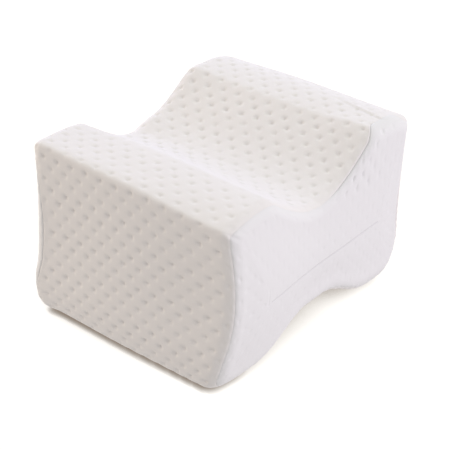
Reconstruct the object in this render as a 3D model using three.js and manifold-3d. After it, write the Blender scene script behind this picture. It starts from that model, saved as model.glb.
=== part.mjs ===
// Contoured knee pillow: a filled cushion with a valley across its top and an arch under it,
// covered by one wraparound band and two end panels that are sewn to the band.
// Millimetres. The origin is on the floor under the middle. X runs along the valley from end
// panel to end panel, Y from lobe to lobe, and Z is up.

import * as THREE from "three";
import Module from "manifold-3d";
import { mergeVertices } from "three/addons/utils/BufferGeometryUtils.js";

// Overall sizes
const LENGTH = 199;              // end panel to end panel
const WIDTH = 245;               // outer side of one lobe to the other, at the ends
const HEIGHT = 159;              // floor to the top of a lobe, at the ends
const SIDE_BULGE = 2;            // the filling bulges each side by this midway along the length
const TOP_BULGE = 1;             // and the top by this
const TWIST = 0.0001;            // the filled cover stands a little twisted: rise per mm along and across
const TWIST_FROM_Z = 20;         // the twist begins above the feet
const TWIST_TO_Z = 120;          // and is full here

// Top of the profile
const VALLEY_Z = 126;            // height of the valley floor
const CREST_Y = 91;              // distance of a lobe's highest line from the middle
const LOBE_FALL = { far: 112, near: 190 };   // the +Y and the -Y lobe fall outwards by (distance
                                 // from the crest) squared over this
const LOBE_FALL_INNER = 550;     // the same on the valley's side of the crest
const WALL_SLOPE = 0.72;         // rise over run of the valley's walls
const WALL_Y = 46;               // the wall is halfway up at this distance from the middle
const WALL_Z = 140;
const FLOOR_BLEND = 15;          // softness where the wall leaves the valley floor
const FOLD_BLEND = 4;            // softness where the wall folds over onto the lobe
const TOP_RADIUS = 7;            // outer top fold of a lobe

// Sides, feet and arch
const WAIST = 1.6;               // how far the outer sides draw in at mid height
const FOOT_OUTER_Y = 96;         // the foot rests flat from here
const FOOT_INNER_Y = 85;         // to here
const FOOT_CORNER_Z = 42;        // height where the foot's outer corner begins to round
const FOOT_FULLNESS = 2.5;       // exponent of the foot's corner: 2 is an ellipse, more is squarer
const ARCH_Z = 34;               // height of the arch at the middle
const ARCH_FLAT_Y = 12;          // the arch's crown is level this far out
const SIDE_FROM_Z = 20;          // a side's foot fold
const SIDE_TO_Z = 142;           // a side's top fold
const SIDE_FACING = 0.6;         // the skin counts as a side where it faces out by more than this part
const SIDE_EASE = 0.7;           // how quickly it does so away from the two folds: less is quicker
const UNDERFOOT_FACING = 0.9;    // and as the sole of a foot where it faces down by more than this

// Ends
const TOP_END_RADIUS = 12;       // rounding from the top on to an end face
const SIDE_END_RADIUS = 14;      // the same from the sides
const FOOT_END_RADIUS = 18;      // and from the feet and the arch
const END_CROWN = 3;             // how far the filling bulges an end panel at its middle

// Degrees round that rounding to the seam: at the sides' mid height, over the +Y lobe, and
// everywhere else. The cover sits a little towards +X, so the two ends differ.
const ZIPPED_SEAM = { side: 82, lobe: 2, rest: 44 };
const PLAIN_SEAM = { side: 5, lobe: 45, rest: 45 };
const LOBE_SEAM_Y = [62, 76, 100, 118];      // the seam turns to the lobe's angle, stays, and returns

// Cover
const PANEL_THICKNESS = 1.5;     // knit of an end panel
const GAP = 0.3;                 // clearance between sewn pieces

// Hidden zip in one end panel, closed, seen as a slit
const SLIT_Z = 75;
const SLIT_FROM_Y = -72;
const SLIT_TO_Y = 77;
const SLIT_WIDTH = 0.7;

// Number of steps along each stretch of half a profile, from the valley to the arch
const STEPS = { top: 14, fold: 4, side: 4, corner: 5, arch: 8 };
const FOLD_PART = 0.57;                      // the fold's place between the valley and the side
const FOLD_GATHER = 0.06;                    // how strongly steps gather there
const TURN_STEPS = 4;                        // steps round the end rounding
const FACE_SCALES = [0.86, 0.62, 0.32];      // rings of the end face, shrinking to its middle
const BAND_STATIONS = [-1, -0.6, 0, 0.6, 1]; // rings of the band, as parts of its half width
const TANGENT_PASSES = 6;                    // tries at the place where the top meets its fold
const SLOPE_STEP = 0.5;                      // a slope is measured over this much on either side
const MERGE_DISTANCE = 1e-4;                 // points nearer than this are one

const smoothMin = (a, b, k) => (a + b - Math.sqrt((a - b) ** 2 + k * k)) / 2;
const smoothMax = (a, b, k) => (a + b + Math.sqrt((a - b) ** 2 + k * k)) / 2;
const radians = (degrees) => (degrees * Math.PI) / 180;

// 0 before `start`, 1 after `end`, and a smooth S between them.
function ramp(value, start, end) {
  const t = Math.min(1, Math.max(0, (value - start) / (end - start)));
  return t * t * (3 - 2 * t);
}

// Height of the top at a distance y from the middle: the floor rises into a straight wall, and
// the wall folds over onto the lobe's low crown, which falls outwards as `outerFall` says.
function topHeight(y, inset, outerFall) {
  const floor = VALLEY_Z - FLOOR_BLEND / 4;
  const wall = WALL_Z + WALL_SLOPE * (y - WALL_Y);
  const fall = y > CREST_Y ? outerFall : LOBE_FALL_INNER;
  const lobe = HEIGHT - (y - CREST_Y) ** 2 / fall;
  return smoothMin(lobe, smoothMax(floor, wall, FLOOR_BLEND), FOLD_BLEND) - inset;
}

function topSlope(y, outerFall) {
  return (topHeight(y + SLOPE_STEP, 0, outerFall) - topHeight(y - SLOPE_STEP, 0, outerFall)) / (2 * SLOPE_STEP);
}

// Parts of the way from 0 to 1, closer together about the fold at the top of a wall.
function gathered(t) {
  const wave = (u) => Math.sin(2 * Math.PI * (u - FOLD_PART + 0.5));
  return t + FOLD_GATHER * (wave(t) - wave(0));
}

// Half a profile drawn in by `inset`, as [y, z] from the valley's middle round to the arch's.
function halfProfile(inset, outerFall) {
  const points = [];
  const sideY = WIDTH / 2 - inset;
  const centreY = sideY - TOP_RADIUS;

  // The outer fold is an arc tangent to both the lobe's top and the side.
  let startY = centreY;
  for (let pass = 0; pass < TANGENT_PASSES; pass++) {
    startY = centreY + TOP_RADIUS * Math.sin(Math.atan(-topSlope(startY, outerFall)));
  }
  const startTurn = Math.atan(-topSlope(startY, outerFall));
  const centreZ = topHeight(startY, inset, outerFall) - TOP_RADIUS * Math.cos(startTurn);
  for (let i = 0; i <= STEPS.top; i++) {
    const y = startY * gathered(i / STEPS.top);
    points.push([y, topHeight(y, inset, outerFall)]);
  }
  for (let i = 1; i <= STEPS.fold; i++) {
    const turn = startTurn + ((Math.PI / 2 - startTurn) * i) / STEPS.fold;
    points.push([centreY + TOP_RADIUS * Math.sin(turn), centreZ + TOP_RADIUS * Math.cos(turn)]);
  }

  // The side draws in at its waist.
  for (let i = 1; i < STEPS.side; i++) {
    const t = i / STEPS.side;
    points.push([sideY - WAIST * Math.sin(Math.PI * t), centreZ + (FOOT_CORNER_Z - centreZ) * t]);
  }

  // The foot's corner is a rounded quarter, and the foot is flat where it rests.
  const power = 2 / FOOT_FULLNESS;
  for (let i = 0; i <= STEPS.corner; i++) {
    const turn = (Math.PI / 2) * (i / STEPS.corner);
    const across = (sideY - FOOT_OUTER_Y) * Math.cos(turn) ** power;
    const down = (FOOT_CORNER_Z - inset) * Math.sin(turn) ** power;
    points.push([FOOT_OUTER_Y + (i === STEPS.corner ? 0 : across), FOOT_CORNER_Z - down]);
  }
  points.push([FOOT_INNER_Y, inset]);

  // The arch is a cosine from the foot to its level crown.
  for (let i = 1; i <= STEPS.arch; i++) {
    const y = FOOT_INNER_Y * (1 - i / STEPS.arch);
    const t = Math.max(0, (y - ARCH_FLAT_Y) / (FOOT_INNER_Y - ARCH_FLAT_Y));
    points.push([y, inset + (ARCH_Z * (1 + Math.cos(Math.PI * t))) / 2]);
  }
  return points;
}

// The whole profile, round from the valley's middle over the +Y lobe to the arch and back.
function profile(inset) {
  const far = halfProfile(inset, LOBE_FALL.far);
  const near = halfProfile(inset, LOBE_FALL.near);
  return far.concat(near.slice(1, -1).reverse().map(([y, z]) => [-y, z]));
}

const outer = profile(0);
const COUNT = outer.length;
const MIDDLE_Z = (VALLEY_Z + ARCH_Z) / 2;

// Outward direction of the profile at each point, in its own plane.
const outward = outer.map((_, i) => {
  const before = outer[(i + COUNT - 1) % COUNT];
  const after = outer[(i + 1) % COUNT];
  const dy = after[0] - before[0];
  const dz = after[1] - before[1];
  const length = Math.hypot(dy, dz);
  return [-dz / length, dy / length];
});
const facing = outward[0][1] > 0 ? 1 : -1;
outward.forEach((n) => n.forEach((value, axis) => { n[axis] = value * facing; }));

// 1 at the middle of a side's height, falling to 0 at its two folds and away from the sides.
const sideness = outer.map(([, z], i) => {
  const height = Math.min(1, Math.max(0, (z - SIDE_FROM_Z) / (SIDE_TO_Z - SIDE_FROM_Z)));
  const turnedOut = Math.max(0, Math.abs(outward[i][0]) - SIDE_FACING) / (1 - SIDE_FACING);
  return turnedOut * Math.sin(Math.PI * height) ** SIDE_EASE;
});

// 1 on the top of the +Y lobe, falling to 0 towards the valley's wall and the outer fold.
const [LOBE_FROM, LOBE_FULL, LOBE_LEAVE, LOBE_END] = LOBE_SEAM_Y;
const overLobe = outer.map(([y, z]) => (z < MIDDLE_Z ? 0
  : ramp(y, LOBE_FROM, LOBE_FULL) * (1 - ramp(y, LOBE_LEAVE, LOBE_END))));

const seamTurn = (i, seam) => radians(seam.rest
  + (seam.side - seam.rest) * sideness[i]
  + (seam.lobe - seam.rest) * overLobe[i]);
const endRadius = outward.map(([, dz]) => SIDE_END_RADIUS
  + Math.max(0, dz) * (TOP_END_RADIUS - SIDE_END_RADIUS)
  + Math.max(0, -dz) * (FOOT_END_RADIUS - SIDE_END_RADIUS));

// The outline of the flat end face: each point is drawn in by its own end radius.
const drawnIn = profile(SIDE_END_RADIUS);
const inner = outer.map(([y, z], i) => {
  const part = endRadius[i] / SIDE_END_RADIUS;
  return [y + (drawnIn[i][0] - y) * part, z + (drawnIn[i][1] - z) * part];
});

const FLAT_X = LENGTH / 2 - END_CROWN;       // where an end face leaves the rounding

// A point of the cushion's skin at profile point i, turned by `turn` round the +X end's
// rounding, and sunk by `depth` under the skin.
function onRounding(i, turn, depth) {
  const draw = 1 - Math.cos(turn);
  const y = outer[i][0] + (inner[i][0] - outer[i][0]) * draw;
  const z = outer[i][1] + (inner[i][1] - outer[i][1]) * draw;
  const side = Math.cos(turn) * depth;
  return new THREE.Vector3(
    FLAT_X - endRadius[i] + (endRadius[i] - depth) * Math.sin(turn),
    y - outward[i][0] * side,
    z - outward[i][1] * side,
  );
}

// A point of the band, `part` of the way from the middle to the end rounding. The filling
// bulges it most at the middle, and the feet stay flat.
function onBand(i, part) {
  const [dy, dz] = outward[i];
  const swell = dz < -UNDERFOOT_FACING ? 0 : SIDE_BULGE * dy * dy + TOP_BULGE * Math.max(0, dz);
  const bulge = (1 - part * part) ** 2 * swell;
  return new THREE.Vector3(
    part * (FLAT_X - endRadius[i]),
    outer[i][0] + dy * bulge,
    outer[i][1] + dz * bulge * (dz < 0 ? 0 : 1),
  );
}

// A point of the end face, on the ring that is `scale` of the face's outline.
function onFace(i, scale, depth) {
  return new THREE.Vector3(
    FLAT_X + END_CROWN * (1 - scale * scale) ** 2 - depth,
    inner[i][0] * scale,
    MIDDLE_Z + (inner[i][1] - MIDDLE_Z) * scale,
  );
}

// Rings from a seam to the middle of the +X end, sunk by `depth`; `past` moves the first ring
// round the rounding, away from the seam.
function endRings(seam, depth, past) {
  const rings = [];
  for (let step = 0; step <= TURN_STEPS; step++) {
    rings.push(outer.map((_, i) => {
      const from = seamTurn(i, seam) + past / endRadius[i];
      return onRounding(i, from + ((Math.PI / 2 - from) * step) / TURN_STEPS, depth);
    }));
  }
  for (const scale of FACE_SCALES) {
    rings.push(outer.map((_, i) => onFace(i, scale, depth)));
  }
  return rings;
}

const faceCentre = (depth) => new THREE.Vector3(FLAT_X + END_CROWN - depth, 0, MIDDLE_Z);
const asItIs = (v) => v;
const mirrorX = (v) => new THREE.Vector3(-v.x, v.y, v.z);

// The twist of the filled cover: opposite corners of its top rise and sink.
function settled(point) {
  point.z += TWIST * point.x * point.y * ramp(point.z, TWIST_FROM_Z, TWIST_TO_Z);
  return point;
}

// A closed body from rings of COUNT points, joined in order and shut by a fan at each end.
function loftBody(rings, firstCentre, lastCentre) {
  const points = [...rings.flat(), firstCentre, lastCentre].map(settled);
  const first = points.length - 2;
  const last = points.length - 1;
  const index = [];
  for (let r = 0; r + 1 < rings.length; r++) {
    for (let i = 0; i < COUNT; i++) {
      const j = (i + 1) % COUNT;
      const [a, b, c, d] = [r * COUNT + i, r * COUNT + j, (r + 1) * COUNT + i, (r + 1) * COUNT + j];
      // A quad is cut along its shorter diagonal, so that two skins one over the other agree.
      if (points[a].distanceTo(points[d]) < points[b].distanceTo(points[c])) {
        index.push(a, c, d, a, d, b);
      } else {
        index.push(a, c, b, b, c, d);
      }
    }
  }
  const end = (rings.length - 1) * COUNT;
  for (let i = 0; i < COUNT; i++) {
    const j = (i + 1) % COUNT;
    index.push(first, i, j);
    index.push(last, end + j, end + i);
  }
  return outwardGeometry(points, index);
}

// A geometry with its faces turned outward, whichever way round the list was made.
function outwardGeometry(points, index) {
  let volume = 0;
  for (let k = 0; k < index.length; k += 3) {
    const [a, b, c] = [points[index[k]], points[index[k + 1]], points[index[k + 2]]];
    volume += a.dot(new THREE.Vector3().crossVectors(b, c));
  }
  if (volume < 0) {
    for (let k = 0; k < index.length; k += 3) {
      [index[k + 1], index[k + 2]] = [index[k + 2], index[k + 1]];
    }
  }
  const geometry = new THREE.BufferGeometry();
  const positions = new Float32Array(points.flatMap((p) => [p.x, p.y, p.z]));
  geometry.setAttribute("position", new THREE.BufferAttribute(positions, 3));
  geometry.setIndex(index);
  return geometry;
}

// The filled body: its skin is the band, and each end is recessed to take an end panel.
function bodyGeometry() {
  const depth = PANEL_THICKNESS + GAP;
  const endOf = (seam) => [
    outer.map((_, i) => onRounding(i, seamTurn(i, seam) / 2, 0)),
    outer.map((_, i) => onRounding(i, seamTurn(i, seam), 0)),
    ...endRings(seam, depth, 0),
  ];
  const rings = [
    ...endOf(PLAIN_SEAM).map((ring) => ring.map(mirrorX)).reverse(),
    ...BAND_STATIONS.map((part) => outer.map((_, i) => onBand(i, part))),
    ...endOf(ZIPPED_SEAM),
  ];
  return loftBody(rings, mirrorX(faceCentre(depth)), faceCentre(depth));
}

// An end panel: the skin from just past its seam to the face's middle, at the +X end as it is and
// at the -X end through `place`.
function panelGeometry(seam, place) {
  const rings = [...endRings(seam, PANEL_THICKNESS, GAP).reverse(), ...endRings(seam, 0, GAP)];
  return loftBody(rings.map((ring) => ring.map(place)), place(faceCentre(PANEL_THICKNESS)), place(faceCentre(0)));
}

const wasm = await Module();
wasm.setup();

function toManifold(geometry) {
  const bare = new THREE.BufferGeometry();
  bare.setAttribute("position", geometry.getAttribute("position"));
  bare.setIndex(geometry.getIndex());
  const merged = mergeVertices(bare, MERGE_DISTANCE);
  return new wasm.Manifold(new wasm.Mesh({
    numProp: 3,
    vertProperties: new Float32Array(merged.getAttribute("position").array),
    triVerts: new Uint32Array(merged.getIndex().array),
  }));
}

function fromManifold(solid) {
  const mesh = solid.getMesh();
  const geometry = new THREE.BufferGeometry();
  geometry.setAttribute("position", new THREE.BufferAttribute(new Float32Array(mesh.vertProperties), 3));
  geometry.setIndex(Array.from(mesh.triVerts));
  return geometry;
}

// The closed slit over the hidden zip, cut through the panel.
function cutSlit(geometry) {
  const through = 2 * (PANEL_THICKNESS + END_CROWN) + PANEL_THICKNESS;
  const slit = wasm.Manifold.cube([through, SLIT_TO_Y - SLIT_FROM_Y, SLIT_WIDTH], true)
    .translate([FLAT_X, (SLIT_FROM_Y + SLIT_TO_Y) / 2, SLIT_Z]);
  return fromManifold(toManifold(geometry).subtract(slit));
}

function piece(name, geometry, colour, roughness) {
  const material = new THREE.MeshStandardMaterial({ color: colour, roughness, metalness: 0 });
  const mesh = new THREE.Mesh(geometry, material);
  mesh.name = name;
  return mesh;
}

const pillow = new THREE.Group();
pillow.name = "knee_pillow";

pillow.add(
  piece("cushion_body", bodyGeometry(), "#e6e2df", 0.95),
  piece("end_panel_zipped", cutSlit(panelGeometry(ZIPPED_SEAM, asItIs)), "#e8e4e6", 0.94),
  piece("end_panel_plain", panelGeometry(PLAIN_SEAM, mirrorX), "#e8e4e6", 0.94),
);

export default pillow;
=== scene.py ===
"""Contoured knee pillow: one filled band of dimpled knit and two end panels sewn to it.

Shapes are worked out in millimetres on grids and put into meshes in metres. X runs along the
valley from end panel to end panel, Y from lobe to lobe, and Z is up from the floor.
"""

from types import SimpleNamespace
import bpy
import numpy as np
from mathutils import Matrix, Vector


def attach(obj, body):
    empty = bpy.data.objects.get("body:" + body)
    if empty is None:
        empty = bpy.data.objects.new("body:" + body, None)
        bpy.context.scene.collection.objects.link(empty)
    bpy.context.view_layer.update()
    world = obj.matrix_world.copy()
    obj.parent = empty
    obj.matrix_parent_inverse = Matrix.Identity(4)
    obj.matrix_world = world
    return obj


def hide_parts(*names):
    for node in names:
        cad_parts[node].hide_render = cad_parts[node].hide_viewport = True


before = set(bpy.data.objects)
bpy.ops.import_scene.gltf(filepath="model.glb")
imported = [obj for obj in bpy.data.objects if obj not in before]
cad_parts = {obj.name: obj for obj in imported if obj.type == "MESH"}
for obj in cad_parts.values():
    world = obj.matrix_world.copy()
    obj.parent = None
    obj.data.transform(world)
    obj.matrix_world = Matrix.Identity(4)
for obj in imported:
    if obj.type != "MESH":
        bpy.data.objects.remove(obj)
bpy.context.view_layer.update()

MM = 0.001
QUARTER_TURN = np.pi / 2

# Overall sizes of the cushion, as in the part. Its two top folds are sharper here.
LENGTH = 199
WIDTH = 245
HEIGHT = 159
SIDE_BULGE = 2
TOP_BULGE = 1
VALLEY_Z = 126
CREST_Y = 91
LOBE_FALL_FAR = 112
LOBE_FALL_NEAR = 190
LOBE_FALL_INNER = 550
WALL_SLOPE = 0.72
WALL_Y = 46
WALL_Z = 140
FLOOR_BLEND = 15
FOLD_BLEND = 1
TOP_RADIUS = 3.5
WAIST = 1.6
FOOT_OUTER_Y = 96
FOOT_INNER_Y = 85
FOOT_CORNER_Z = 42
FOOT_FULLNESS = 2.5
ARCH_Z = 34
ARCH_FLAT_Y = 12
SIDE_FROM_Z = 20
SIDE_TO_Z = 142
SIDE_FACING = 0.6
SIDE_EASE = 0.7
UNDERFOOT_FACING = 0.9
TOP_END_RADIUS = 12
SIDE_END_RADIUS = 14
FOOT_END_RADIUS = 18
END_CROWN = 2.4
CROWN_TAPER = 0.3             # share of an end's crown that is lost towards its two sides
FLAT_X = LENGTH / 2 - 3
CAP_DEPTH = 3.2               # the filling's end under an end panel
CAP_SHARES = (0.6, 0.25)      # rings of that hidden end, as shares of its outline

# Each seam's angle round its end's rounding, in degrees from the band: down the near and far sides, over
# the far lobe, and elsewhere. Then how much squarer than round that rounding is down the near side,
# over the arch and at the near toe.
ZIPPED_SEAM = SimpleNamespace(
    near=52, far=82, lobe=2, rest=44, side_square=0.45, arch_square=1.2, toe_square=0)
PLAIN_SEAM = SimpleNamespace(
    near=5, far=5, lobe=45, rest=45, side_square=0, arch_square=0, toe_square=2)
LOBE_SEAM_Y = (62, 76, 100, 118)
SQUARE_SIDE_FACINGS = (0.6, 0.95)
SQUARE_ARCH_FACINGS = (0.3, 0.9)
SQUARE_ARCH_Y = (50, 80)
SQUARE_TOE_Y = (92, 110)
SQUARE_TOE_Z = (25, 60)

# Hidden zip
SLIT_Z = 75
SLIT_FROM_Y = -72
SLIT_TO_Y = 77
SLIT_REACH = 108              # outline length, from the middle, that the slit's half length fans out to
SLIT_DEPTH = 0.35
SLIT_HALF_WIDTH = 0.5
LIP_HEIGHT = 0.05             # faint fold of knit over the slit
LIP_ABOVE = 2.4
LIP_WIDTH = 1.6
LIP_END = 2
SLIT_SHADE = 0.25             # painted shade along the closed slit: how far it darkens the knit, and over what width
SLIT_SHADE_WIDTH = 1.3
STOP_Y = -77                  # short stitched stop that rises from the slit's near end
STOP_HEIGHT = 13
STOP_DEPTH = 0.35
STOP_WIDTH = 1.0

# Knit. A share is of the usual pit depth.
PITCH_ACROSS = 14.9           # from pit to pit along the valley
PITCH_ALONG = 17.2            # and round the outline, about
PIT_AT_X = -5.7               # one pit of the near side is here
PIT_AT_Z = 97.3
ROW_TILT = 0.052              # the knit is cut a little off its grain: a row's rise for each step across
PIT_DEPTH = 1.5
PIT_SPREAD = 1.2
PIT_TAIL = 0.7                # a pit is longer by this towards -X
PIT_HEAD = -0.21              # and shorter towards +X
PIT_SCATTER = 0.5             # how far a pit's place varies
PIT_VARIES = 0.2              # and what share of its depth does
PIT_CLEAR = (2, 8)            # pits come in between these distances from a seam
NEAR_SIDE_SHARE = 0.28        # more depth down the near side
NEAR_TOP_SHARE = -0.12        # less on the near lobe's top
FAR_WALL_SHARE = 0.17
FOLD_SHARE = -0.75
CREST_BAND_Y = -55            # no pits on the near lobe's inner crest, where the knit is stretched
CREST_BAND_REACH = 16
PUFF = 0.06
UNEVEN = 0.35                 # slow swell of the filling under the knit
UNEVEN_ACROSS = 21
UNEVEN_ALONG = 33
UNEVEN_DRIFT = 47
UNEVEN_TOP = 0.6              # share of it that the top has
KNIT_THICKNESS = 1.6

# Where on the outline: ranges of a part of its outward direction, and of y and z
SIDE_TURN = (0.5, 0.9)
SLOPING_TURN = (0.6, 0.8)
LEVEL_TURN = (0.8, 0.98)
FLOOR_TURN = (0.9, 0.99)
FOLD_TURN = (0.5, 1.0)
LOBE_TOP_Y = (60, 72)
FAR_WALL_Y = (5, 30)
UPPER_Z = 100
ON_FLOOR_Z = 2

# Seams
TUCK_IN = 0.8                 # how far the band's edge turns in at its seam
TUCK_WIDTH = 0.75
SEAM_RIDGE = 0.25             # the band's raised lip beside it
SEAM_RIDGE_AT = 1.9
SEAM_RIDGE_WIDTH = 1.0
NEAR_SEAM_EASE = 0.8          # how much shallower the zipped seam is down the near side
NEAR_SEAM_Y = (100, 115)
PUCKER = 0.3
PUCKER_LENGTH = 10.5
PUCKER_FADE = 6.0
PUCKER_DRIFT = (1.6, 17.0)    # size and length of the two slower sines that make puckers uneven
PUCKER_JITTER = (1.1, 7.3)
PUCKER_START = SimpleNamespace(zipped=0, plain=40, panels=15)
STRETCHED = 0.96              # share of a seam that is stretched flat over the tops and the valley's floor
STRETCHED_FROM_Y = (-117, -104)
STRETCHED_TO_Y = (8, 26)
STRETCHED_AGAIN_Y = (74, 84)
STRETCHED_Z = (60, 125)
CORNER_DIP = 0.9              # gather where the zipped seam crosses the near fold
CORNER_REACH = 3.5
CREASE_Y = 103                # crease on the far lobe's top, that runs into the zipped seam
CREASE_SLOPE = -0.17
CREASE_DEPTH = 1.1
CREASE_WIDTH = 1.1
CREASE_LIP = 0.5
CREASE_LIP_AT = 2.4
CREASE_LIP_WIDTH = 1.8
CREASE_START_X = (30, 52)
CREASE_FADE_X = (86, 104)
CREASE_FADE = 0.6

# End panels. Their pits are faint, and clearer under the far wall and by the near seam.
PANEL_TUCK = 0.5
PANEL_GATHER = 0.6            # an end panel's puckers, as a share of the band's
PANEL_CLEAR = (1.5, 6)
PANEL_GAP = 0.03
PANEL_SEAM_GAP = 0.07         # more of a gap where the seam shows
PANEL_PITS = 0.2
PANEL_UNEVEN = 0.3
PANEL_UNEVEN_Y = 23
PANEL_UNEVEN_Z = 31
PANEL_CORNER_REACH = 5.6
PANEL_WALL = SimpleNamespace(share=0.95, y=52, reach=26, z=(108, 122))
PANEL_NEAR = SimpleNamespace(share=0.15, y=(78, 96), low_z=(25, 45), high_z=(120, 140))

# How the filled cover has settled off its cut shape: each amount, with the x, y and z where it comes in
TWIST = SimpleNamespace(rise=0.0001, z=(20, 120))
LEAN = SimpleNamespace(fall=0.018, reach=22, z=(60, 145))
NEAR_FOLD = SimpleNamespace(
    full=1.0, fuller=2.9, plain_x=(0, 75), reach=15, z=(100, 146), end_ease=0.8, end_x=(82, 98))
FAR_FOLD = SimpleNamespace(down=1.3, full=3.6, x=(35, 75), y=66, reach=16, z=(115, 145))
VALLEY = SimpleNamespace(drawn=3, x=(30, 99), middle_y=-10, y=(60, 90), z=(60, 120))
VALLEY_FILL = SimpleNamespace(
    full=3.5, x=(50, 97), z=(100, 125), floor_y=15, floor_reach=14, top_share=0.8, top_y=68, top_reach=12)
FAR_TOE = SimpleNamespace(lift=6.5, x=(20, 95), y=(20, 70), z=(10, 85))
NEAR_TOE = SimpleNamespace(lift=2.4, x=(-20, 70), end_x=(76, 96), y=(100, 112), z=(12, 45))
NEAR_TOE_FILL = SimpleNamespace(down=1.0, x=55, reach=40, z=(2, 10))
BOW = SimpleNamespace(foot=-9, middle=10, fold=4, x=(30, 98), y=(0, 117), z=(5, 147))

# Grids
HALF_STEPS = 300              # round half the outline
BAND_STEPS = 108              # across the band between its end roundings
TURN_STEPS = 16               # round an end rounding
FACE_STEPS = 34               # across half an end face
SEAM_GATHER = 1.5             # power by which the steps of a rounding crowd towards its seam
FACE_GATHER = 1.7             # and those of an end face towards its rounding
FACE_DISTANCE = 60            # about how far an end face's middle line is from its rounding
INSIDE_STEPS = (0, 2, 4, 8, TURN_STEPS, TURN_STEPS + 12, TURN_STEPS + FACE_STEPS)
FINE = 400                    # points of each stretch of the outline, before it is divided evenly


def smooth_min(a, b, k):
    """The lesser of two heights, with a soft change k wide: half of (a + b - root of (a - b)^2 + k^2)."""
    return (a + b - np.sqrt((a - b) ** 2 + k * k)) / 2


def smooth_max(a, b, k):
    """The greater of two heights, with a soft change k wide: half of (a + b + root of (a - b)^2 + k^2)."""
    return (a + b + np.sqrt((a - b) ** 2 + k * k)) / 2


def bell(distance, width):
    """A bell curve: 1 at distance 0, falling as e to the minus (distance / width) squared."""
    return np.exp(-((distance / width) ** 2))


def ramp(value, start, end):
    """0 before start, 1 after end, and a smooth S between them: t^2 (3 - 2t)."""
    t = np.clip((value - start) / (end - start), 0, 1)
    return t * t * (3 - 2 * t)


def top_height(y, inset, outer_fall):
    """Height of the top at y: floor, then straight wall, then a lobe that is a parabola about its crest."""
    wall = WALL_Z + WALL_SLOPE * (y - WALL_Y)
    fall = np.where(y > CREST_Y, outer_fall, LOBE_FALL_INNER)
    lobe = HEIGHT - (y - CREST_Y) ** 2 / fall
    return smooth_min(lobe, smooth_max(VALLEY_Z - FLOOR_BLEND / 4, wall, FLOOR_BLEND), FOLD_BLEND) - inset


def half_outline(inset, outer_fall):
    """Half the outline drawn in by inset, from the valley's middle to the arch's, as rows of y and z.

    In order: the top's height over y; an arc of the top fold; the side, drawn in by half a sine; the
    foot's corner, a rounded quarter whose sine and cosine are raised to a power; the flat foot; and
    the arch, half a cosine up to its level crown.
    """
    step = np.linspace(0, 1, FINE, endpoint=False)
    side_y = WIDTH / 2 - inset
    centre_y = side_y - TOP_RADIUS
    start_y = centre_y
    start_turn = 0.0
    for _ in range(6):
        slope = top_height(start_y + 0.5, 0, outer_fall) - top_height(start_y - 0.5, 0, outer_fall)
        start_turn = np.arctan(-slope)
        start_y = centre_y + TOP_RADIUS * np.sin(start_turn)
    centre_z = top_height(start_y, inset, outer_fall) - TOP_RADIUS * np.cos(start_turn)

    top = np.stack([start_y * step, top_height(start_y * step, inset, outer_fall)], axis=1)
    turn = start_turn + (QUARTER_TURN - start_turn) * step
    fold = np.stack([centre_y + TOP_RADIUS * np.sin(turn), centre_z + TOP_RADIUS * np.cos(turn)], axis=1)
    side_z = centre_z + (FOOT_CORNER_Z - centre_z) * step
    side = np.stack([side_y - WAIST * np.sin(np.pi * step), side_z], axis=1)
    power = 2 / FOOT_FULLNESS
    corner = np.stack([
        FOOT_OUTER_Y + (side_y - FOOT_OUTER_Y) * np.cos(QUARTER_TURN * step) ** power,
        FOOT_CORNER_Z - (FOOT_CORNER_Z - inset) * np.sin(QUARTER_TURN * step) ** power,
    ], axis=1)
    foot = np.stack([FOOT_OUTER_Y + (FOOT_INNER_Y - FOOT_OUTER_Y) * step, inset + 0 * step], axis=1)
    arch_y = FOOT_INNER_Y * (1 - np.linspace(0, 1, FINE))
    part = np.clip((arch_y - ARCH_FLAT_Y) / (FOOT_INNER_Y - ARCH_FLAT_Y), 0, 1)
    arch = np.stack([arch_y, inset + ARCH_Z * (1 + np.cos(np.pi * part)) / 2], axis=1)
    return np.concatenate([top, fold, side, corner, foot, arch])


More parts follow.
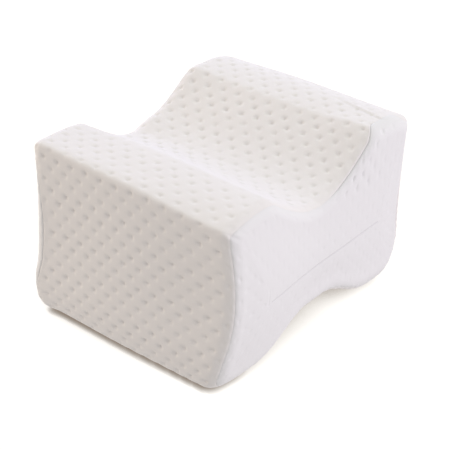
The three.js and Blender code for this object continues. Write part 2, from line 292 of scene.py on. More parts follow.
def end_outline():
    """The closed outline in equal steps: outer and inner (drawn in by the end rounding) points,
    outward directions, end radii, and each point's length along it from the valley. Its sideness is
    how far a point faces a side times half a sine up the side's height, raised to a power. Its
    over_lobe is 1 over the far lobe, by ramps of y.
    """
    halves = []
    for fall in (LOBE_FALL_FAR, LOBE_FALL_NEAR):
        fine_outer = half_outline(0, fall)
        fine_inset = half_outline(SIDE_END_RADIUS, fall)
        length = np.concatenate([[0], np.cumsum(np.hypot(*np.diff(fine_outer, axis=0).T))])
        even = np.linspace(0, length[-1], HALF_STEPS + 1)
        fine = np.concatenate([fine_outer, fine_inset], axis=1)
        halves.append(np.stack([even] + [np.interp(even, length, column) for column in fine.T], axis=1))
    far, near = halves
    whole = np.concatenate([far, near[-2:0:-1] * [-1, -1, 1, -1, 1]])
    along, outer, inset = whole[:, 0], whole[:, 1:3], whole[:, 3:5]
    tangent = np.roll(outer, -1, axis=0) - np.roll(outer, 1, axis=0)
    out = np.stack([-tangent[:, 1], tangent[:, 0]], axis=1) / np.hypot(*tangent.T)[:, None]
    out *= np.sign(out[0, 1])
    radius = (SIDE_END_RADIUS + np.maximum(0, out[:, 1]) * (TOP_END_RADIUS - SIDE_END_RADIUS)
              + np.maximum(0, -out[:, 1]) * (FOOT_END_RADIUS - SIDE_END_RADIUS))
    inner = outer + (inset - outer) * (radius / SIDE_END_RADIUS)[:, None]
    height = np.clip((outer[:, 1] - SIDE_FROM_Z) / (SIDE_TO_Z - SIDE_FROM_Z), 0, 1)
    turned_out = np.maximum(0, np.abs(out[:, 0]) - SIDE_FACING) / (1 - SIDE_FACING)
    y = outer[:, 0]
    over_lobe = (outer[:, 1] > SLIT_Z) * ramp(y, *LOBE_SEAM_Y[:2]) * (1 - ramp(y, *LOBE_SEAM_Y[2:]))
    return SimpleNamespace(
        outer=outer, inner=inner, out=out, radius=radius, along=along,
        step=far[1, 0], girth=far[-1, 0] + near[-1, 0],
        sideness=turned_out * np.sin(np.pi * height) ** SIDE_EASE, over_lobe=over_lobe, count=2 * HALF_STEPS,
    )


EDGE = end_outline()
ROWS = round(EDGE.girth / PITCH_ALONG)
ROW_PITCH = EDGE.girth / ROWS
NEAR_SIDE = np.flatnonzero(EDGE.outer[:, 0] < -FOOT_OUTER_Y)
PIT_AT_ALONG = EDGE.along[NEAR_SIDE[np.argmin(np.abs(EDGE.outer[NEAR_SIDE, 1] - PIT_AT_Z))]]


def seam_turn(seam):
    """Angle of a seam round the end rounding at each point of the outline, in radians: its angle at
    rest, plus a side's difference times the sideness, plus the far lobe's difference over that lobe.
    """
    side = (np.where(EDGE.outer[:, 0] < 0, seam.near, seam.far) - seam.rest) * EDGE.sideness
    return np.radians(seam.rest + side + (seam.lobe - seam.rest) * EDGE.over_lobe)


def on_rounding(turn, seam, depth=0.0):
    """Points and directions of the +X end rounding. The outline is drawn in by 1 - c of the way to
    the inner one, and x grows with s of its radius. Here s and c are the turn's sine and cosine,
    raised to a power that makes the corner squarer where the seam's table says so.
    """
    outer_y, outer_z = EDGE.outer[:, :1], EDGE.outer[:, 1:]
    near_side = ramp(np.abs(EDGE.out[:, :1]), *SQUARE_SIDE_FACINGS) * (outer_y < 0)
    over_arch = ramp(-EDGE.out[:, 1:], *SQUARE_ARCH_FACINGS) * (1 - ramp(np.abs(outer_y), *SQUARE_ARCH_Y))
    near_toe = ramp(-outer_y, *SQUARE_TOE_Y) * (1 - ramp(outer_z, *SQUARE_TOE_Z))
    square = seam.side_square * near_side + seam.arch_square * over_arch + seam.toe_square * near_toe
    power = 2 / (2 + square)
    sine, cosine = np.sin(turn), np.abs(np.cos(turn))
    plane = EDGE.outer[:, None] + (EDGE.inner - EDGE.outer)[:, None] * (1 - cosine ** power)[..., None]
    facing = np.stack([sine, cosine], axis=-1) ** (2 - power)[..., None]
    facing = facing / np.linalg.norm(facing, axis=-1, keepdims=True)
    direction = np.concatenate([facing[..., :1], EDGE.out[:, None] * facing[..., 1:]], axis=-1)
    x = FLAT_X - EDGE.radius[:, None] * (1 - sine ** power)
    points = np.concatenate([x[..., None], plane], axis=-1)
    return points - depth * direction, direction


def on_band(part):
    """Points and directions of the band between the roundings, bulged by (1 - part^2)^2."""
    out_y, out_z = EDGE.out[:, :1], EDGE.out[:, 1:]
    swell = SIDE_BULGE * out_y ** 2 + TOP_BULGE * np.maximum(0, out_z)
    bulge = (1 - part ** 2) ** 2 * np.where(out_z < -UNDERFOOT_FACING, 0, swell)
    x = part * (FLAT_X - EDGE.radius)[:, None]
    y = EDGE.outer[:, :1] + out_y * bulge
    z = EDGE.outer[:, 1:] + np.maximum(0, out_z) * bulge
    direction = np.stack([0 * x, out_y + 0 * x, out_z + 0 * x], axis=-1)
    return np.stack([x, y, z], axis=-1), direction


def pits(across, along, pitch_across, pitch_along, rows):
    """Depth of the knit's pits, 0 to about 1: bell curves on a staggered lattice, in two sets half a
    pitch apart. Sines of large multiples of a pit's own row and column vary its place and depth a
    little. With rows given, the rows close into a ring.
    """
    depth = 0
    width_along = PIT_SPREAD * np.sqrt(2)
    for shift in (0.0, 0.5):
        column = np.round(across / pitch_across - shift)
        row = np.round(along / pitch_along - shift)
        named = np.mod(row, rows) if rows else row
        chance = np.sin(12.9 * column + 78.2 * named + 37.0 * shift)
        other = np.sin(39.3 * column + 11.1 * named + 17.0 * shift)
        sideways = across - (column + shift) * pitch_across + PIT_SCATTER * chance
        lengthways = along - (row + shift) * pitch_along + PIT_SCATTER * other
        width = width_along + np.where(sideways < 0, PIT_TAIL, PIT_HEAD)
        depth = depth + (1 + PIT_VARIES * chance) * bell(sideways, width) * bell(lengthways, width_along)
    return depth


def puffs(across, along, pitch_across, pitch_along):
    """Soft swell of the knit between its pits: minus the product of two cosines, lowest at the pits."""
    return -np.cos(2 * np.pi * across / pitch_across) * np.cos(2 * np.pi * along / pitch_along)


def puckers(along, distance):
    """Small gathers that run away from a seam: a sine along it, made uneven by two slower sines, that
    fades with distance and is flat at the seam itself.
    """
    drift = PUCKER_DRIFT[0] * np.sin(along / PUCKER_DRIFT[1])
    jitter = PUCKER_JITTER[0] * np.sin(along / PUCKER_JITTER[1] + 2)
    phase = 2 * np.pi * along / PUCKER_LENGTH + drift + jitter
    return PUCKER * np.sin(phase) * np.exp(-distance / PUCKER_FADE) * (1 - bell(distance, 2 * TUCK_WIDTH))


def outer_fold():
    """1 along the outer top folds of the two lobes, 0 away from them: a ramp of twice the product of
    the two parts of the outward direction.
    """
    turned = 2 * np.abs(EDGE.out[:, :1]) * np.maximum(0, EDGE.out[:, 1:])
    return ramp(turned, *FOLD_TURN) * (np.abs(EDGE.outer[:, :1]) > CREST_Y)


def seam_shows():
    """How deep a seam is drawn in at each point of the outline, by ramps of y and z: fully down the
    sides and the far wall, and barely over the lobes' tops and the valley's floor, where the knit is
    stretched flat.
    """
    y, z = EDGE.outer[:, :1], EDGE.outer[:, 1:]
    stretched = ramp(y, *STRETCHED_FROM_Y) * (1 - ramp(y, *STRETCHED_TO_Y)) + ramp(y, *STRETCHED_AGAIN_Y)
    return 1 - STRETCHED * stretched * ramp(z, *STRETCHED_Z)


def band_relief(across, along, to_zipped, to_plain):
    """Height of the band's knit over its smooth shape, in millimetres, outwards: its pits and puffs,
    a slow product of sines, the crease's bell with a lip beside it, at each seam a ridge, a tuck and
    puckers, and a dip where the near fold meets the zipped seam. The pits vary in depth from face to
    face, and none is pressed into the floor.
    """
    out_y, out_z = EDGE.out[:, :1], EDGE.out[:, 1:]
    outer_y, outer_z = EDGE.outer[:, :1], EDGE.outer[:, 1:]
    near = outer_y < 0
    upper = outer_z > UPPER_Z
    side = ramp(np.abs(out_y), *SIDE_TURN)
    sloping_up = ramp(out_z, *SLOPING_TURN)
    lobe_top = ramp(out_z, *LEVEL_TURN) * ramp(np.abs(outer_y), *LOBE_TOP_Y) * upper
    far_wall = sloping_up * ramp(outer_y, *FAR_WALL_Y) * (1 - lobe_top)
    depth = 1 + near * (NEAR_SIDE_SHARE * side + NEAR_TOP_SHARE * lobe_top) + FAR_WALL_SHARE * far_wall
    depth = depth - sloping_up * bell(outer_y - CREST_BAND_Y, CREST_BAND_REACH)
    depth = depth * (1 + FOLD_SHARE * outer_fold())

    clear = ramp(np.minimum(to_zipped, to_plain), *PIT_CLEAR)
    from_across = across - PIT_AT_X
    from_along = along - PIT_AT_ALONG - ROW_TILT * from_across
    knit = PUFF * puffs(from_across, from_along, PITCH_ACROSS, ROW_PITCH)
    knit = knit - PIT_DEPTH * pits(from_across, from_along, PITCH_ACROSS, ROW_PITCH, ROWS)
    uneven = np.sin(across / UNEVEN_ACROSS + 1.3 * np.sin(along / UNEVEN_DRIFT))
    uneven = UNEVEN * uneven * np.sin(along / UNEVEN_ALONG + 0.8) * (UNEVEN_TOP + (1 - UNEVEN_TOP) * side)
    beside = outer_y - (CREASE_Y + CREASE_SLOPE * across)
    crease = CREASE_LIP * bell(beside - CREASE_LIP_AT, CREASE_LIP_WIDTH)
    crease = crease - CREASE_DEPTH * bell(beside, CREASE_WIDTH)
    crease = crease * ramp(across, *CREASE_START_X) * (1 - CREASE_FADE * ramp(across, *CREASE_FADE_X)) * upper
    off_floor = 1 - ramp(-out_z, *FLOOR_TURN) * (outer_z < ON_FLOOR_Z)
    relief = (knit * depth * clear + uneven * clear + crease) * off_floor

    near_ease = NEAR_SEAM_EASE * ramp(-outer_y, *NEAR_SEAM_Y)
    for distance, ease, start in (
        (to_zipped, near_ease, PUCKER_START.zipped),
        (to_plain, 0, PUCKER_START.plain),
    ):
        seam = SEAM_RIDGE * bell(distance - SEAM_RIDGE_AT, SEAM_RIDGE_WIDTH)
        seam = seam - TUCK_IN * bell(distance, TUCK_WIDTH)
        relief = relief + (seam * (1 - ease) + puckers(along + start, distance)) * seam_shows()
    return relief - CORNER_DIP * near * outer_fold() * bell(to_zipped, CORNER_REACH)


def settle(points):
    """The cushion as its cover has settled: each change is an amount times ramps or bells of x, y and z.

    The top is twisted, rising with x times y. The near fold falls towards the zipped end and is fuller
    towards the plain one. The far fold is set down, but is full at the zipped end. The valley's plain
    end is drawn towards the near lobe and is fuller. The far toe turns up towards the zipped end. The
    near toe turns up towards the plain end, and is fuller towards the zipped one. The near side's
    zipped edge bows: in at the foot, out at the fold, and out by half a sine between them. Points
    below the floor are first raised to it.
    """
    x, y, z = points[..., 0], points[..., 1], points[..., 2]
    from_near_fold = y + WIDTH / 2
    rise = TWIST.rise * x * y * ramp(z, *TWIST.z)
    rise = rise - LEAN.fall * x * bell(from_near_fold, LEAN.reach) * ramp(z, *LEAN.z)
    near_fold = NEAR_FOLD.full + NEAR_FOLD.fuller * (1 - ramp(x, *NEAR_FOLD.plain_x))
    near_fold = near_fold * bell(from_near_fold, NEAR_FOLD.reach) * ramp(z, *NEAR_FOLD.z)
    rise = rise + near_fold * (1 - NEAR_FOLD.end_ease * ramp(-x, *NEAR_FOLD.end_x))
    far_fold = FAR_FOLD.full * ramp(x, *FAR_FOLD.x) - FAR_FOLD.down
    rise = rise + far_fold * bell(y - FAR_FOLD.y, FAR_FOLD.reach) * ramp(z, *FAR_FOLD.z)
    fill = bell(y - VALLEY_FILL.floor_y, VALLEY_FILL.floor_reach)
    fill = fill + VALLEY_FILL.top_share * bell(y - VALLEY_FILL.top_y, VALLEY_FILL.top_reach)
    rise = rise + VALLEY_FILL.full * fill * ramp(-x, *VALLEY_FILL.x) * ramp(z, *VALLEY_FILL.z)
    rise = rise + FAR_TOE.lift * ramp(x, *FAR_TOE.x) * ramp(y, *FAR_TOE.y) * (1 - ramp(z, *FAR_TOE.z))
    near_toe = NEAR_TOE.lift * ramp(-x, *NEAR_TOE.x) * (1 - ramp(-x, *NEAR_TOE.end_x))
    toe_fill = NEAR_TOE_FILL.down * bell(x - NEAR_TOE_FILL.x, NEAR_TOE_FILL.reach)
    near_toe = near_toe - toe_fill * ramp(z, *NEAR_TOE_FILL.z)
    rise = rise + near_toe * ramp(-y, *NEAR_TOE.y) * (1 - ramp(z, *NEAR_TOE.z))

    drawn = VALLEY.drawn * ramp(-x, *VALLEY.x) * ramp(z, *VALLEY.z)
    drawn = drawn * (1 - ramp(np.abs(y - VALLEY.middle_y), *VALLEY.y))
    up = np.clip((z - BOW.z[0]) / (BOW.z[1] - BOW.z[0]), 0, 1)
    bow = BOW.foot + (BOW.fold - BOW.foot) * up + BOW.middle * np.sin(np.pi * up)
    bow = bow * ramp(x, *BOW.x) * ramp(-y, *BOW.y)
    return np.stack([x + bow, y - drawn, np.maximum(z, 0) + rise], axis=-1)


def ring_quads(first, rings):
    """Quads of a grid of EDGE.count rows, closed into a ring, with the given number of columns."""
    row = np.arange(EDGE.count)[:, None]
    column = np.arange(rings - 1)[None, :]
    here = first + row * rings + column
    there = first + (row + 1) % EDGE.count * rings + column
    return np.stack([here, here + 1, there + 1, there], axis=-1).reshape(-1, 4)


def make_piece(name, points, faces, coords, finish):
    """A closed piece from points in millimetres, lists of quads and triangles, and the knit's own
    lengths at each point, which become its UV map in metres. If the volume, summed from each
    triangle's first point times the cross product of its others, is negative, all faces are turned
    round. Where a face crosses the outline's start, its lengths are moved by a whole girth.
    """
    loops = np.concatenate([part.ravel() for part in faces])
    sizes = np.concatenate([np.full(len(part), part.shape[1]) for part in faces])
    starts = np.concatenate([[0], np.cumsum(sizes)[:-1]])
    corners = [part[:, [0, k, k + 1]] for part in faces for k in range(1, part.shape[1] - 1)]
    a, b, c = (points[np.concatenate(corners)[:, k]] for k in range(3))
    if np.einsum("ij,ij->", a, np.cross(b, c)) < 0:
        faces = [part[:, ::-1] for part in faces]
        loops = np.concatenate([part.ravel() for part in faces])
    mesh = bpy.data.meshes.new(name)
    mesh.vertices.add(len(points))
    mesh.vertices.foreach_set("co", (points * MM).astype(np.float32).ravel())
    mesh.loops.add(len(loops))
    mesh.loops.foreach_set("vertex_index", loops.astype(np.int32))
    mesh.polygons.add(len(starts))
    mesh.polygons.foreach_set("loop_start", starts.astype(np.int32))
    mesh.update(calc_edges=True)
    mesh.validate()
    mesh.shade_smooth()
    lengths = coords[loops] * MM
    jump = EDGE.girth * MM
    lengths[:, 1] -= jump * np.round((lengths[:, 1] - np.repeat(lengths[starts, 1], sizes)) / jump)
    layer = mesh.uv_layers.new(name="knit_lengths")
    layer.uv.foreach_set("vector", lengths.astype(np.float32).ravel())
    piece = bpy.data.objects.new(name, mesh)
    bpy.context.scene.collection.objects.link(piece)
    mesh.materials.append(finish)
    return piece


def knit_band(finish):
    """The filled band: rows round the outline, columns from the plain seam over the band to the
    zipped one, and hidden ends under the two panels.
    """
    turn_part = 1 - (1 - np.linspace(0, 1, TURN_STEPS + 1)[None, :]) ** SEAM_GATHER
    zipped = seam_turn(ZIPPED_SEAM)[:, None] * turn_part
    plain = seam_turn(PLAIN_SEAM)[:, None] * turn_part
    right, right_out = on_rounding(zipped, ZIPPED_SEAM)
    left, left_out = on_rounding(plain, PLAIN_SEAM)
    mirror = np.array([-1, 1, 1])
    part = np.linspace(-1, 1, BAND_STEPS + 1)[None, 1:-1]
    middle, middle_out = on_band(part)
    points = np.concatenate([(left * mirror)[:, ::-1], middle, right], axis=1)
    out = np.concatenate([(left_out * mirror)[:, ::-1], middle_out, right_out], axis=1)
    radius = EDGE.radius[:, None]
    half = FLAT_X - radius
    across = np.concatenate([-(half + radius * plain)[:, ::-1], part * half, half + radius * zipped], axis=1)
    along = EDGE.along[:, None] + 0 * across
    to_zipped = half + radius * seam_turn(ZIPPED_SEAM)[:, None] - across
    to_plain = half + radius * seam_turn(PLAIN_SEAM)[:, None] + across
    skin = settle(points + out * band_relief(across, along, to_zipped, to_plain)[..., None])

    flat = np.full((EDGE.count, 1), QUARTER_TURN)
    ends = []
    for seam, side in ((PLAIN_SEAM, mirror), (ZIPPED_SEAM, 1)):
        turns = seam_turn(seam)[:, None]
        under = on_rounding(np.concatenate([turns, (turns + flat) / 2, flat], axis=1), seam, CAP_DEPTH)[0]
        middle_point = np.array([0, 0, SLIT_Z])
        inward = [under[:, -1:] * [1, s, s] + middle_point * (1 - s) for s in CAP_SHARES]
        ends.append(np.concatenate([under, *inward], axis=1) * side)
    hidden = ends[0].shape[1]
    grid = np.concatenate([settle(ends[0][:, ::-1]), skin, settle(ends[1])], axis=1)
    width = grid.shape[1]
    centres = np.array([grid[:, 0].mean(axis=0), grid[:, -1].mean(axis=0)])
    all_across = np.pad(across, ((0, 0), (hidden, hidden)), mode="edge")
    lengths = np.stack([all_across, EDGE.along[:, None] + 0 * all_across], axis=-1)
    row = np.arange(EDGE.count)
    following = (row + 1) % EDGE.count
    first, last = EDGE.count * width, EDGE.count * width + 1
    caps = np.concatenate([
        np.stack([np.full(EDGE.count, first), row * width, following * width], axis=1),
        np.stack([np.full(EDGE.count, last), following * width + width - 1, row * width + width - 1], axis=1),
    ])
    all_points = np.concatenate([grid.reshape(-1, 3), centres])
    all_lengths = np.concatenate([lengths.reshape(-1, 2), [[-LENGTH / 2, 0], [LENGTH / 2, 0]]])
    return make_piece("knit_band", all_points, [ring_quads(0, width), caps], all_lengths, finish)


def spine():
    """For each point of the outline, its foot on the end face's middle line: top and bottom points
    share a foot in pairs, and the sides fan out from the line's two ends.
    """
    reach = round(SLIT_REACH / EDGE.step)
    index = np.arange(HALF_STEPS + 1)
    part = np.minimum(np.minimum(index, HALF_STEPS - index) / reach, 1)
    part = np.concatenate([part, -part[-2:0:-1]])
    y = np.where(part > 0, part * SLIT_TO_Y, -part * SLIT_FROM_Y)
    return np.stack([y, np.full_like(y, SLIT_Z)], axis=1)


def panel_sheet(seam, thickness_in):
    """Points, directions and flat lengths of an end panel's skin, and how far each is from its seam:
    round the rounding, then straight to the middle line with x swelling by (1 - (1 - q)^2)^2, where
    q is the part of the way there.
    """
    start = seam_turn(seam)[:, None] + (PANEL_GAP + PANEL_SEAM_GAP * seam_shows()) / EDGE.radius[:, None]
    turn = start + (QUARTER_TURN - start) * np.linspace(0, 1, TURN_STEPS + 1)[None, :] ** SEAM_GATHER
    rounded, rounded_out = on_rounding(turn, seam, thickness_in)
    flat_part = EDGE.radius[:, None] * (QUARTER_TURN - turn)
    rounded_lengths = EDGE.inner[:, None] + EDGE.out[:, None] * flat_part[..., None]

    feet = spine()
    q = 1 - (1 - np.linspace(0, 1, FACE_STEPS + 1)[None, 1:]) ** FACE_GATHER
    face_plane = EDGE.inner[:, None] + (feet - EDGE.inner)[:, None] * q[..., None]
    tapered = 1 - CROWN_TAPER * (feet[:, :1] / SLIT_TO_Y) ** 2
    swell = END_CROWN * tapered * (1 - (1 - q) ** 2) ** 2
    face = np.concatenate([(FLAT_X - thickness_in + swell)[..., None], face_plane], axis=-1)
    face_out = np.zeros_like(face)
    face_out[..., 0] = 1

    points = np.concatenate([rounded, face], axis=1)
    out = np.concatenate([rounded_out, face_out], axis=1)
    lengths = np.concatenate([rounded_lengths, face_plane], axis=1)
    distance = EDGE.radius[:, None] * (turn - start)
    distance = np.concatenate([distance, distance[:, -1:] + FACE_DISTANCE * q], axis=1)
    return points, out, lengths, distance


def slit_relief(y, z):
    """The zip's closed slit: minus a bell of the distance to it, plus a bell along the faint lip over
    it, and minus a bell of the distance to the stitched stop.
    """
    beside = np.maximum(0, np.maximum(SLIT_FROM_Y - y, y - SLIT_TO_Y))
    slit = SLIT_DEPTH * bell(np.hypot(z - SLIT_Z, beside), SLIT_HALF_WIDTH)
    lip = LIP_HEIGHT * bell(z - SLIT_Z - LIP_ABOVE, LIP_WIDTH) * bell(beside, LIP_END)
    from_stop = np.hypot(y - STOP_Y, np.maximum(0, np.abs(z - SLIT_Z - STOP_HEIGHT / 2) - STOP_HEIGHT / 2))
    return lip - slit - STOP_DEPTH * bell(from_stop, STOP_WIDTH)


def panel_relief(lengths, distance, zipped):
    """Height of an end panel's knit over its smooth shape: faint pits, a slow product of sines, and at
    the seam puckers and a tuck. The zipped one has its slit, and a dip where the near fold meets it.
    """
    y, z = lengths[..., 0], lengths[..., 1]
    wall = bell(y - PANEL_WALL.y, PANEL_WALL.reach) * ramp(z, *PANEL_WALL.z)
    near = ramp(-y, *PANEL_NEAR.y) * ramp(z, *PANEL_NEAR.low_z) * (1 - ramp(z, *PANEL_NEAR.high_z))
    share = PANEL_PITS + PANEL_WALL.share * wall + PANEL_NEAR.share * near
    knit = -PIT_DEPTH * share * pits(y, z, PITCH_ACROSS, PITCH_ALONG, 0)
    uneven = PANEL_UNEVEN * np.sin(y / PANEL_UNEVEN_Y + 0.6) * np.sin(z / PANEL_UNEVEN_Z + 1.1)
    relief = (knit + uneven) * ramp(distance, *PANEL_CLEAR)
    tuck = PANEL_TUCK * bell(distance, TUCK_WIDTH)
    if zipped:
        near_fold = outer_fold() * (EDGE.outer[:, :1] < 0)
        relief = relief + slit_relief(y, z) - CORNER_DIP * near_fold * bell(distance, PANEL_CORNER_REACH)
        tuck = tuck * (1 - NEAR_SEAM_EASE * ramp(-EDGE.outer[:, :1], *NEAR_SEAM_Y))
    gathers = PANEL_GATHER * puckers(EDGE.along[:, None] + PUCKER_START.panels, distance)
    return relief + (gathers - tuck) * seam_shows()


def end_panel(name, seam, zipped, finish):
    """One end panel: a knit sheet from its seam round the end, closed at its rim and along its
    middle line. Rows that share a foot on that line share one point there, and quads whose two
    corners meet in it become triangles.
    """
    mirror = 1 if zipped else np.array([-1, 1, 1])
    outside, out, lengths, distance = panel_sheet(seam, 0.0)
    outside = outside + out * panel_relief(lengths, distance, zipped)[..., None]
    inside, inside_out, _, inside_distance = panel_sheet(seam, KNIT_THICKNESS)
    inside = inside - inside_out * (PANEL_TUCK * bell(inside_distance, TUCK_WIDTH))[..., None]
    inside = inside[:, INSIDE_STEPS]
    grid = settle(np.concatenate([inside[:, ::-1], outside], axis=1) * mirror)
    width = grid.shape[1]
    flat_lengths = np.concatenate([lengths[:, INSIDE_STEPS][:, ::-1], lengths], axis=1)

    index = np.arange(EDGE.count * width).reshape(EDGE.count, width)
    row = np.arange(EDGE.count)
    partner = np.where(row <= HALF_STEPS, HALF_STEPS - row, 3 * HALF_STEPS - row) % EDGE.count
    keeper = np.minimum(row, partner)
    reach = round(SLIT_REACH / EDGE.step)
    keeper = np.where((row >= reach) & (row <= HALF_STEPS - reach), reach, keeper)
    turned = (row >= HALF_STEPS + reach) & (row <= 2 * HALF_STEPS - reach)
    keeper = np.where(turned, HALF_STEPS + reach, keeper)
    for column in (0, width - 1):
        index[:, column] = index[keeper, column]
    here, there = index, np.roll(index, -1, axis=0)
    quads = np.stack([here[:, :-1], here[:, 1:], there[:, 1:], there[:, :-1]], axis=-1).reshape(-1, 4)
    pointed_end = quads[:, 1] == quads[:, 2]
    pointed_start = quads[:, 0] == quads[:, 3]
    whole = ~(pointed_end | pointed_start)
    faces = [quads[whole], quads[pointed_end][:, [0, 1, 3]], quads[pointed_start][:, [0, 1, 2]]]
    used, packed = np.unique(np.concatenate([part.ravel() for part in faces]), return_inverse=True)
    sizes = np.cumsum([0] + [part.size for part in faces])
    faces = [packed[sizes[k]:sizes[k + 1]].reshape(faces[k].shape) for k in range(3)]
    return make_piece(name, grid.reshape(-1, 3)[used], faces, flat_lengths.reshape(-1, 2)[used], finish)


class Wire:
    """One value in a material, that can be added, subtracted, multiplied and raised to a power."""

    def __init__(self, nodes, socket):
        self.nodes = nodes
        self.socket = socket

    def maths(self, operation, first, second):
        """The result of one operation on two values, each a wire or a number."""
        made = self.nodes.add("ShaderNodeMath", {"operation": operation}, {0: first, 1: second})
        return Wire(self.nodes, made.outputs[0])

    def __add__(self, other):
        return self.maths("ADD", self, other)

    __radd__ = __add__

    def __sub__(self, other):
        return self.maths("SUBTRACT", self, other)

    def __rsub__(self, other):
        return self.maths("SUBTRACT", other, self)

    def __mul__(self, other):
        return self.maths("MULTIPLY", self, other)

    __rmul__ = __mul__

    def __pow__(self, other):
        return self.maths("POWER", self, other)

    def over(self, limit):
        """The greater of this value and a limit."""
        return self.maths("MAXIMUM", self, limit)

    def under(self, limit):
        """The lesser of this value and a limit."""
        return self.maths("MINIMUM", self, limit)

    def sine(self):
        """The sine of this value, taken as radians."""
        return self.maths("SINE", self, 0.0)

    def size(self):
        """This value without its sign."""
        return self.maths("ABSOLUTE", self, 0.0)


class Nodes:
    """The nodes of one material, or of the world."""

    def __init__(self, owner):
        owner.use_nodes = True
        self.tree = owner.node_tree
        self.tree.nodes.clear()

    def add(self, kind, settings, sockets):
        """A node of a kind: its settings first, then the value or the wire of each socket."""
        made = self.tree.nodes.new(kind)
        for name, value in settings.items():
            setattr(made, name, value)
        for name, value in sockets.items():
            if isinstance(value, Wire):
                self.tree.links.new(value.socket, made.inputs[name])
            else:
                made.inputs[name].default_value = value
        return made

    def wire(self, node, output=0):
        """One output of a node, as a value to reckon with."""
        return Wire(self, node.outputs[output])


WALE = 1.25 * MM              # width of one column of stitches
COURSE = 0.95 * MM            # height of one stitch
STITCH_RELIEF = 0.09 * MM
STITCH_LEAN = 2.0             # how far a stitch's sine is pushed on by its column's
COLUMN_SHARE = 0.6            # shares of the columns and of the stitches in the relief
STITCH_SHARE = 0.2
SLIT_SHADE_TONE = 0.5               # the knit's colour in the slit's full painted shade, as a share of its own
BAND_COLOUR = (0.768, 0.753, 0.76)
BAND_ROUGHNESS = 0.9
END_COLOUR = (0.745, 0.75, 0.772)
END_ROUGHNESS = 0.88


def slit_shade(nodes, y, z):
    """How far the painted shade of the closed slit darkens the knit: most along it, then evenly down to 0
    over its shade's width.
    """
    beside = ((y - MM * (SLIT_FROM_Y + SLIT_TO_Y) / 2).size() - MM * (SLIT_TO_Y - SLIT_FROM_Y) / 2).over(0.0)
    away = (z - MM * SLIT_Z).size() + beside
    return (1.0 - away * (1 / (MM * SLIT_SHADE_WIDTH))).over(0.0) * SLIT_SHADE


def knit_finish(name, colour, roughness, slit=False):
    """Matt white knit: columns of V-shaped stitches as a fine bump. Its height is the size of a sine
    across each column, plus a sine along it that is pushed on by the first. With a slit, painted shade
    along the closed zip darkens the colour.
    """
    material = bpy.data.materials.new(name)
    nodes = Nodes(material)
    lengths = nodes.add("ShaderNodeUVMap", {"uv_map": "knit_lengths"}, {})
    apart = nodes.add("ShaderNodeSeparateXYZ", {}, {0: nodes.wire(lengths)})
    column = (nodes.wire(apart, 0) * (np.pi / WALE)).sine().size()
    stitch = (nodes.wire(apart, 1) * (2 * np.pi / COURSE) + column * STITCH_LEAN).sine()
    height = column * COLUMN_SHARE + stitch * STITCH_SHARE
    bump = nodes.add("ShaderNodeBump", {}, {"Strength": 0.5, "Distance": STITCH_RELIEF, "Height": height})
    tint = (*colour, 1)
    # painted shade along the closed slit: the knit's colour is mixed towards a darker tint there
    if slit:
        shaded_tint = tuple(SLIT_SHADE_TONE * part for part in colour)
        shade = slit_shade(nodes, nodes.wire(apart, 0), nodes.wire(apart, 1))
        mixed = nodes.add("ShaderNodeMix", {"data_type": "RGBA"}, {"Factor": shade, 6: tint, 7: (*shaded_tint, 1)})
        tint = nodes.wire(mixed, 2)
    shader = nodes.add("ShaderNodeBsdfPrincipled", {}, {
        "Base Color": tint,
        "Roughness": roughness,
        "Metallic": 0.0,
        "Specular IOR Level": 0.2,
        "Sheen Weight": 0.1,
        "Sheen Roughness": 0.6,
        "Normal": nodes.wire(bump),
    })
    nodes.add("ShaderNodeOutputMaterial", {}, {"Surface": nodes.wire(shader)})
    return material


band_knit = knit_finish("dimpled_band_knit", BAND_COLOUR, BAND_ROUGHNESS)
band = knit_band(band_knit)
end_knit = knit_finish("end_panel_knit", END_COLOUR, END_ROUGHNESS, True)
zipped_panel = end_panel("zipped_end_panel", ZIPPED_SEAM, True, end_knit)
plain_knit = knit_finish("plain_panel_knit", END_COLOUR, END_ROUGHNESS)
plain_panel = end_panel("plain_end_panel", PLAIN_SEAM, False, plain_knit)

for piece, node, material_slot in (
    (band, "cushion_body", "band_knit"),
    (zipped_panel, "end_panel_zipped", "end_knit"),
    (plain_panel, "end_panel_plain", "end_knit"),
):
    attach(piece, "root")
    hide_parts(node)

# Studio: a pale floor that glows evenly, with the pillow's shadows painted on it, a soft dome that is
# brightest at both sides, and four soft lamps
FLOOR_HALF = 6.0
FLOOR_Z = -0.0003
FLOOR_GLOW = (1.12, 1.09, 1.05, 1)
# colour of the floor's painted shadow where it is darkest
FLOOR_SHADE = (0.24, 0.19, 0.15, 1)
SHADE_SAMPLES = 24
CONTACT_REACH = 0.0055        # how far the painted shadow of the pillow's edges spreads over the floor
CONTACT_TOWARDS = (0.6, 0.7, 0.45)
CONTACT_GAIN = 1.5            # how much deeper that painted shadow is made
COVER_REACH = 0.08            # how far the painted shadow under the arch spreads
COVER_TOWARDS = (0.55, -0.5, 0.7)
COVER_DEEP = (6.0, 2.4)       # slope and start of the painted shadow deep under the arch
COVER_LEAST = 0.3             # and the least light left there
COVER_FAINT = (2.3, 0.55)     # slope and start of the faint painted shadow before it
DOME_COLOUR = (1.04, 1.0, 0.965, 1)
DOME_BASE = 0.082             # the dome's strength all over
DOME_RIGHT = 1.04             # and what is added towards +X, -X, +Y, down and up
DOME_LEFT = 1.17
DOME_BEHIND = 0.348
DOME_BELOW = 0.05
DOME_OVERHEAD = 0.462
LAMP_DISTANCE = 1.8

floor_mesh = bpy.data.meshes.new("floor")
floor_mesh.from_pydata([
    (-FLOOR_HALF, -FLOOR_HALF, FLOOR_Z), (FLOOR_HALF, -FLOOR_HALF, FLOOR_Z),
    (FLOOR_HALF, FLOOR_HALF, FLOOR_Z), (-FLOOR_HALF, FLOOR_HALF, FLOOR_Z),
], [], [(0, 1, 2, 3)])
floor = bpy.data.objects.new("floor", floor_mesh)
bpy.context.scene.collection.objects.link(floor)
floor_finish = bpy.data.materials.new("pale_floor")
floor_nodes = Nodes(floor_finish)


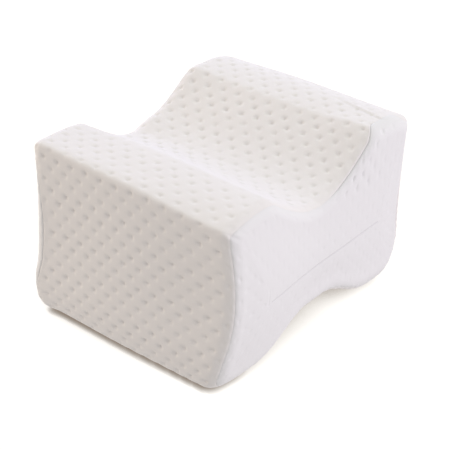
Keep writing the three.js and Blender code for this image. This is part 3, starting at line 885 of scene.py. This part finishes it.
def openness(reach, towards):
    """How open the floor is towards a direction, 0 to 1, counting only what lies within reach."""
    x, y, z = Vector(towards).normalized()
    tilted = floor_nodes.add("ShaderNodeCombineXYZ", {}, {0: x, 1: y, 2: z})
    seen = floor_nodes.add("ShaderNodeAmbientOcclusion", {"samples": SHADE_SAMPLES}, {
        "Distance": reach, "Normal": floor_nodes.wire(tilted)})
    return floor_nodes.wire(seen, 1)


# Painted shadow on the glowing floor: its colour runs from the shadow tint where the pillow closes it in to
# its glow where it is open
contact = (openness(CONTACT_REACH, CONTACT_TOWARDS) * CONTACT_GAIN - (CONTACT_GAIN - 1)).over(0.0)
cover = openness(COVER_REACH, COVER_TOWARDS)
deep = (cover * COVER_DEEP[0] - COVER_DEEP[1]).over(COVER_LEAST)
faint = (cover * COVER_FAINT[0] - COVER_FAINT[1]).under(1.0)
open_part = contact * deep.under(faint)
floor_colour = floor_nodes.add("ShaderNodeMix", {"data_type": "RGBA"}, {
    "Factor": open_part, 6: FLOOR_SHADE, 7: FLOOR_GLOW})
floor_shader = floor_nodes.add("ShaderNodeEmission", {}, {"Color": floor_nodes.wire(floor_colour, 2)})
floor_nodes.add("ShaderNodeOutputMaterial", {}, {"Surface": floor_nodes.wire(floor_shader)})
floor_mesh.materials.append(floor_finish)
floor.visible_diffuse = False
floor.visible_shadow = False

world = bpy.data.worlds.new("soft_dome")
bpy.context.scene.world = world
sky = Nodes(world)
direction = sky.add("ShaderNodeTexCoord", {}, {})
apart = sky.add("ShaderNodeSeparateXYZ", {}, {0: sky.wire(direction)})
rightward, behind, upward = (sky.wire(apart, axis) for axis in range(3))
strength = rightward.over(0.0) * DOME_RIGHT + (rightward * -1.0).over(0.0) * DOME_LEFT + DOME_BASE
strength = strength + behind.over(0.0) * DOME_BEHIND + (upward * -1.0).over(0.0) * DOME_BELOW
strength = strength + upward.over(0.0) ** 2.0 * DOME_OVERHEAD
backdrop = sky.add("ShaderNodeBackground", {}, {"Color": DOME_COLOUR, "Strength": strength})
sky.add("ShaderNodeOutputWorld", {}, {"Surface": sky.wire(backdrop)})


def soft_light(name, direction, size, power, colour):
    """A round lamp that faces the pillow from a direction, far enough to stay out of the frame."""
    lamp = bpy.data.lights.new(name, "AREA")
    lamp.shape = "DISK"
    lamp.size = size
    lamp.energy = power
    lamp.color = colour
    holder = bpy.data.objects.new(name, lamp)
    towards = Vector(direction).normalized()
    holder.location = towards * LAMP_DISTANCE
    holder.rotation_euler = towards.to_track_quat("Z", "Y").to_euler()
    bpy.context.scene.collection.objects.link(holder)


soft_light("left", (-0.85, -0.5, 0.15), 2.2, 11.0, (1.0, 0.78, 0.54))
soft_light("right_back", (0.8, 0.5, 0.3), 1.2, 4.0, (0.73, 0.53, 1.0))
soft_light("left_back", (-0.8, 0.5, 0.35), 1.2, 7.6, (0.25, 0.32, 1.0))
soft_light("back", (0.1, 0.5, 0.86), 1.4, 5.7, (0.86, 1.0, 0.84))

# Camera, at the photograph's viewing angle
CAMERA_AZIMUTH = np.radians(36.925)
CAMERA_ELEVATION = np.radians(30.617)
CAMERA_ROLL = np.radians(-2.403)
CAMERA_DISTANCE = 1.22466
CAMERA_TARGET = Vector((0.00752, -0.00683, 0.07448))
CAMERA_LENS = 122.06

back = Vector((
    np.sin(CAMERA_AZIMUTH) * np.cos(CAMERA_ELEVATION),
    -np.cos(CAMERA_AZIMUTH) * np.cos(CAMERA_ELEVATION),
    np.sin(CAMERA_ELEVATION),
))
level_right = (-back).cross(Vector((0, 0, 1))).normalized()
level_down = (-back).cross(level_right)
right = np.cos(CAMERA_ROLL) * level_right + np.sin(CAMERA_ROLL) * level_down
down = np.cos(CAMERA_ROLL) * level_down - np.sin(CAMERA_ROLL) * level_right
camera = bpy.data.cameras.new("camera")
camera.sensor_width = 36
camera.lens = CAMERA_LENS
camera_object = bpy.data.objects.new("camera", camera)
camera_object.matrix_world = Matrix.Translation(CAMERA_TARGET + back * CAMERA_DISTANCE) @ Matrix((
    right, -down, back)).transposed().to_4x4()
bpy.context.scene.collection.objects.link(camera_object)
bpy.context.scene.camera = camera_object
bpy.context.scene.view_settings.view_transform = "Standard"
